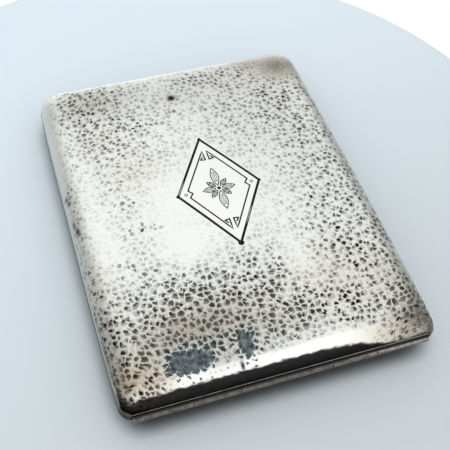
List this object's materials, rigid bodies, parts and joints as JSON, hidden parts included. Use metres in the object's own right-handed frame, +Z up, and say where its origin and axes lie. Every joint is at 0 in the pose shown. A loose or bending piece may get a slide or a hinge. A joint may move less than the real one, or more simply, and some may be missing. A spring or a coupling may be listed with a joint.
{
  "type": "cigarette case",
  "caption": "Flat rounded pocket case of hammered silver with a barrel hinge on a short side, a sprung thumb catch and elastic bands inside.",
  "frame": {"origin": "centre of the flat on the back, on the surface that the case lies on", "axes": "+X along the hinge, +Y from the hinge to the catch, +Z up through the lid"},
  "size_m": [0.0794, 0.1058, 0.0146],
  "materials": {
    "hammered_silver": "hammered silver, polished with a dark patina in its hollows",
    "plain_silver": "drawn silver wire and sheet, lightly worn",
    "gilt": "gilt wash over silver, satin",
    "spring_steel": "rolled spring strip and wire",
    "elastic": "woven elastic webbing, old gold"
  },
  "bodies": {
    "base": {"base_shell": "hammered_silver", "base_rim": "plain_silver", "base_bezel": "gilt", "base_bearer": "plain_silver", "base_knuckles": "plain_silver", "hinge_pin": "spring_steel", "catch_spring": "spring_steel", "spring_posts": "gilt", "spring_rivets": "spring_steel", "base_band": "elastic", "base_band_staples": "gilt"},
    "lid": {"lid_shell": "hammered_silver", "lid_rim": "plain_silver", "lid_bearer": "plain_silver", "lid_knuckles": "plain_silver", "pin_plugs": "plain_silver", "lid_keeper": "gilt", "lid_band": "elastic", "lid_band_staples": "gilt"},
    "thumb": {"thumb_piece": "plain_silver"}
  },
  "joints": [
    {"name": "lid_hinge", "type": "hinge", "parent": "base", "child": "lid", "pos_m": [0, -0.0519, 0.0072], "axis": [1, 0, 0], "range_deg": [0, 175], "deforming": ["catch_spring"]},
    {"name": "thumb_press", "type": "slide", "parent": "base", "child": "thumb", "axis": [0, -1, 0], "range_m": [0, 0.0008], "stiffness_N_per_m": 900, "springref_m": -0.0006}
  ]
}
